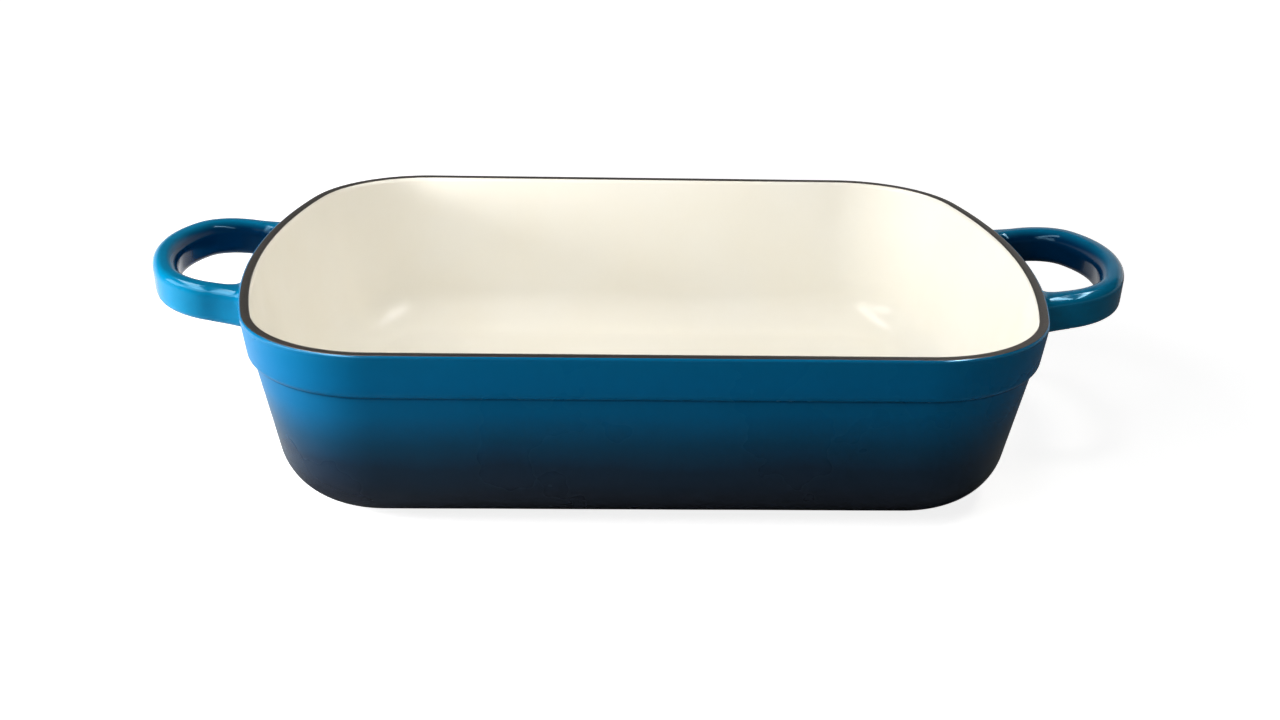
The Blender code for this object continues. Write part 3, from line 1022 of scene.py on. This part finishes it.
def studioWorld():
    world = bpy.data.worlds.new("studioWorld")
    scene.world = world
    world.use_nodes = True
    tree = world.node_tree
    tree.nodes.clear()
    out = put(tree, "ShaderNodeOutputWorld", (600, 0))
    back = put(tree, "ShaderNodeBackground", (300, 0), {"Color": (1.0, 1.0, 1.0, 1.0)})
    path = put(tree, "ShaderNodeLightPath", (-800, 0))
    seen = seenByEye(tree, (-400, 0), path)
    where = put(tree, "ShaderNodeTexCoord", (-800, 300))
    apart = put(tree, "ShaderNodeSeparateXYZ", (-600, 300))
    wire(tree, where, "Generated", apart, "Vector")
    low = spread(tree, apart, "Z", (-400, 300), *studio["backdropTop"],
                 studio["backdrop"], studio["mirroredSky"])
    under = spread(tree, apart, "Z", (-400, 560), *studio["windowTop"], 1.0, 0.0)
    beside = spread(tree, apart, "X", (-400, 820), *studio["windowSide"], 0.0, studio["windowBehind"])
    behind = spread(tree, apart, "Y", (-400, 1080), *studio["windowBack"], 0.0, 1.0)
    pane = sums(tree, (-200, 560), "MULTIPLY", (under, "Result"), (beside, "Result"))
    pane = sums(tree, (-100, 560), "MULTIPLY", pane, (behind, "Result"))
    mirrored = sums(tree, (-200, 300), "MAXIMUM", (low, "Result"), pane)
    strength = put(tree, "ShaderNodeMix", (0, 0), {"A": studio["ambient"]}, data_type="FLOAT")
    wire(tree, path, "Is Glossy Ray", strength, "Factor")
    wire(tree, *mirrored, strength, "B")
    wire(tree, *sums(tree, (150, 0), "MAXIMUM", seen, (strength, "Result")), back, "Strength")
    wire(tree, back, "Background", out, "Surface")


white = (1.0, 1.0, 1.0)
warm = (1.0, 0.95, 0.87)
lamps = {
    # place, aim, width, height, opening in degrees, watts, colour, and whether it lights surfaces
    # and is seen by mirrors
    "keyLeft": ((-0.78, -0.12, 0.52), (0.0, 0.0, 0.04), 0.40, 0.34, 180, 2.30, white, True, True),
    "keyFrontLeft": ((-0.50, -0.42, 0.64), (0.0, 0.0, 0.04), 0.56, 0.40, 180, 2.85, white, True, True),
    "sideLeft": ((-0.52, -0.08, 0.12), (0.0, 0.0, 0.04), 0.20, 0.15, 180, 3.2, white, True, False),
    "softTop": ((0.08, -0.06, 0.78), (0.06, 0.0, 0.0), 0.18, 0.09, 180, 0.42, white, True, False),
    "fillCavity": ((0.26, -0.02, 0.52), (-0.15, 0.0, 0.04), 0.24, 0.24, 70, 0.34, warm, True, False),
    "stripLeft": ((-0.40, 0.0, 0.75), (-0.40, 0.0, 0.0), 0.20, 0.90, 180, 4.6, white, False, True),
    "stripRight": ((0.39, 0.0, 0.75), (0.39, 0.0, 0.0), 0.075, 0.90, 180, 4.2, white, False, True),
}


def makeLamps():
    for name, (place, aim, width, height, opening, watts, colour, lights, mirrored) in lamps.items():
        data = bpy.data.lights.new(name, "AREA")
        data.shape = "RECTANGLE"
        data.size = width
        data.size_y = height
        data.spread = radians(opening)
        data.energy = watts
        data.color = colour
        item = bpy.data.objects.new(name, data)
        item.location = place
        item.visible_diffuse = lights
        item.visible_glossy = mirrored
        item.rotation_euler = (Vector(aim) - Vector(place)).to_track_quat("-Z", "Y").to_euler()
        scene.collection.objects.link(item)


viewpoint = {
    "distance": 0.6486,
    "elevation": radians(22.36),
    "turn": radians(2.067),
    "roll": radians(1.248),
    "aimHeight": 0.02633,
    "aimAside": 0.0001,
    "lens": 41.18,
    "sensor": 36.0,
}


def makeCamera():
    turn = viewpoint["turn"]
    aside = viewpoint["aimAside"]
    back = viewpoint["distance"] * cos(viewpoint["elevation"])
    aim = Vector((aside * cos(turn), -aside * sin(turn), viewpoint["aimHeight"]))
    place = Vector((aside * cos(turn) - back * sin(turn), -aside * sin(turn) - back * cos(turn),
                    viewpoint["aimHeight"] + viewpoint["distance"] * sin(viewpoint["elevation"])))
    data = bpy.data.cameras.new("photoCamera")
    data.lens = viewpoint["lens"]
    data.sensor_width = viewpoint["sensor"]
    camera = bpy.data.objects.new("photoCamera", data)
    facing = (aim - place).to_track_quat("-Z", "Y").to_matrix().to_4x4()
    camera.matrix_world = Matrix.Translation(place) @ facing @ Matrix.Rotation(viewpoint["roll"], 4, "Z")
    scene.collection.objects.link(camera)
    scene.camera = camera


paleFloor()
studioWorld()
makeLamps()
makeCamera()
scene.view_settings.view_transform = "Standard"
print("roasting dish: studio ready")
